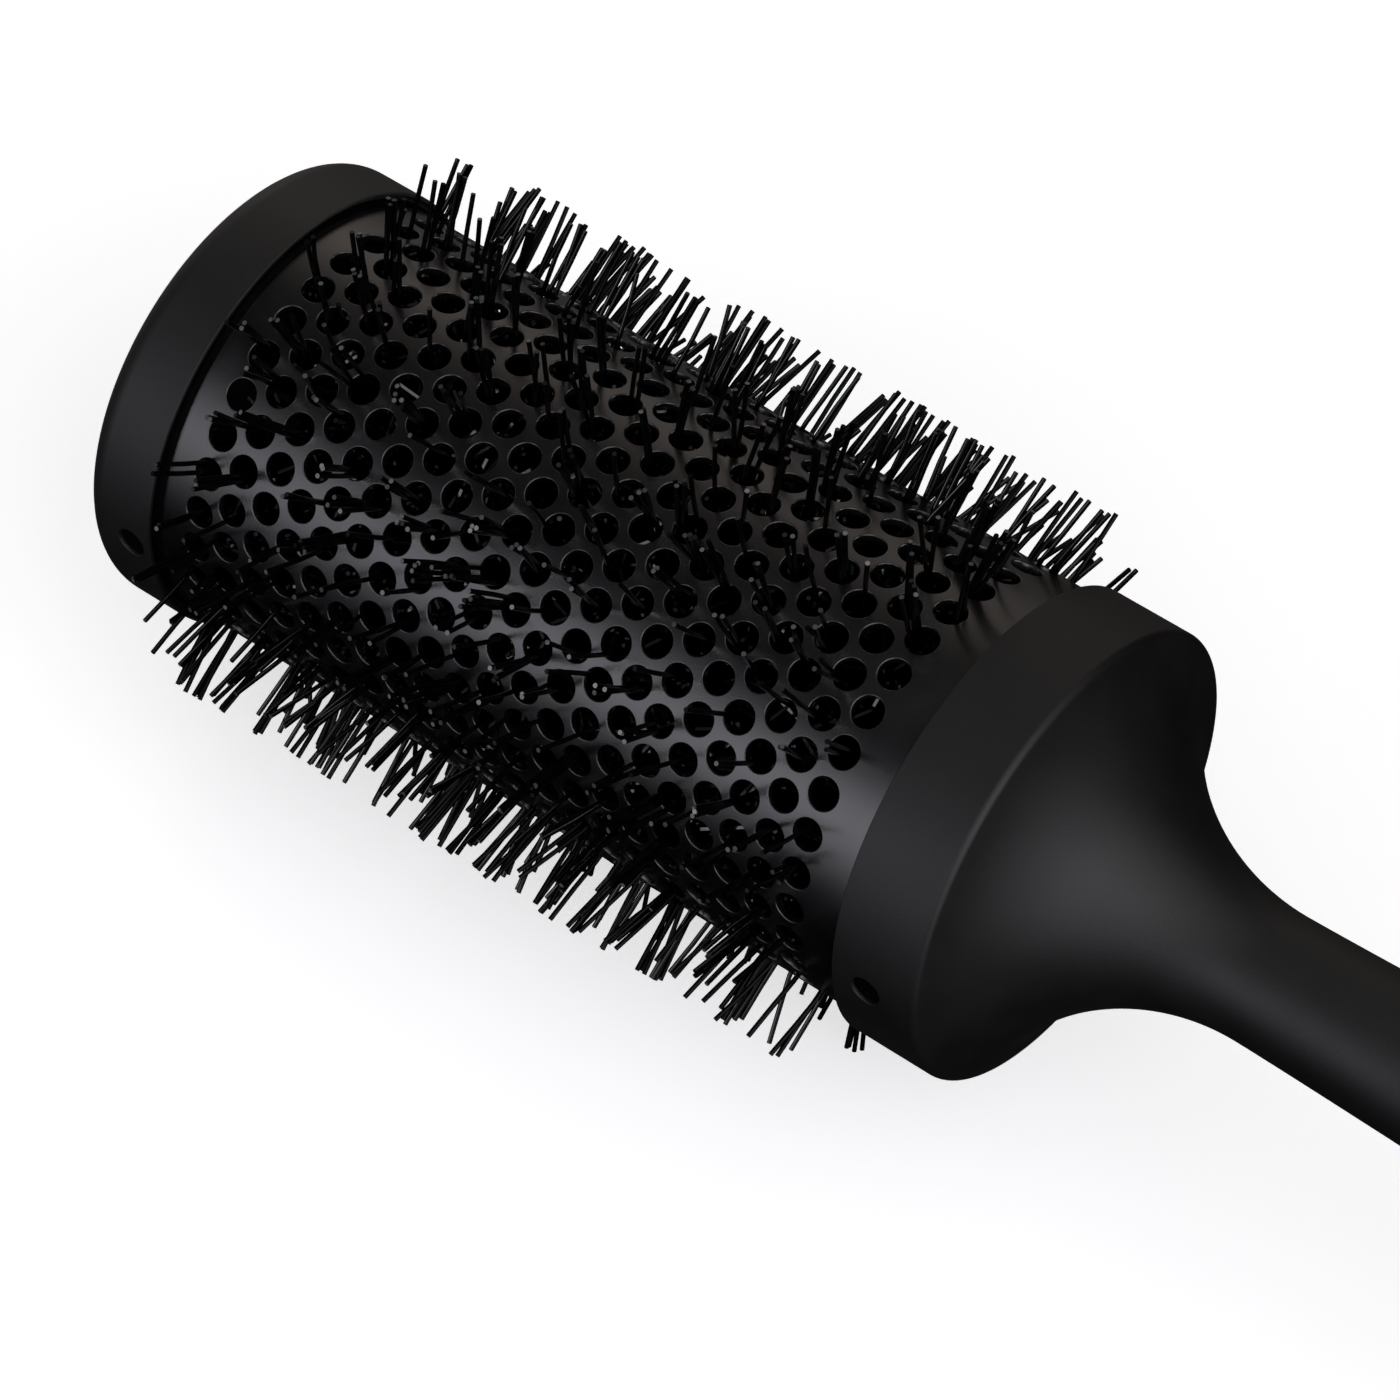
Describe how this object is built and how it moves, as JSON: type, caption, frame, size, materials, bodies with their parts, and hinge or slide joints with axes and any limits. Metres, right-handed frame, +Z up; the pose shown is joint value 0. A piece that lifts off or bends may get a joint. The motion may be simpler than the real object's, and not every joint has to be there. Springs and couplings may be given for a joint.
{
  "type": "round barrel hair brush",
  "caption": "Large vented round hair brush: perforated metal barrel, nylon bristles through its holes, end cap, flared collar and slim soft-touch handle.",
  "frame": {"origin": "on the surface that the lowest bristle tips touch, under the middle of the brush's length, with the brush lying level", "axes": "+X along the brush axis from the cap to the handle's end, +Z up, +Y sideways, through the far row of locking pins"},
  "size_m": [0.261, 0.0739, 0.074],
  "materials": {
    "ceramic_black": "satin black ceramic coating on perforated metal",
    "soft_touch_black": "matte soft-touch skin",
    "moulded_black": "fine matte moulded plastic",
    "nylon_black": "drawn black nylon filament with a soft gloss",
    "steel_wire": "drawn and twisted wire",
    "pin_black": "blackened"
  },
  "bodies": {
    "root": {"barrel_tube": "ceramic_black", "front_cap": "soft_touch_black", "front_hub": "moulded_black", "rear_hub": "moulded_black", "handle_core": "moulded_black", "handle_skin": "soft_touch_black", "end_plug": "moulded_black", "core_wire_a": "steel_wire", "core_wire_b": "steel_wire", "front_ferrule": "steel_wire", "rear_ferrule": "steel_wire", "cap_pin_1": "pin_black", "cap_pin_2": "pin_black", "collar_pin_1": "pin_black", "collar_pin_2": "pin_black", "bristle_row_01": "nylon_black", "bristle_row_02": "nylon_black", "bristle_row_03": "nylon_black", "bristle_row_04": "nylon_black", "bristle_row_05": "nylon_black", "bristle_row_06": "nylon_black", "bristle_row_07": "nylon_black", "bristle_row_08": "nylon_black", "bristle_row_09": "nylon_black", "bristle_row_10": "nylon_black", "bristle_row_11": "nylon_black"}
  },
  "joints": []
}
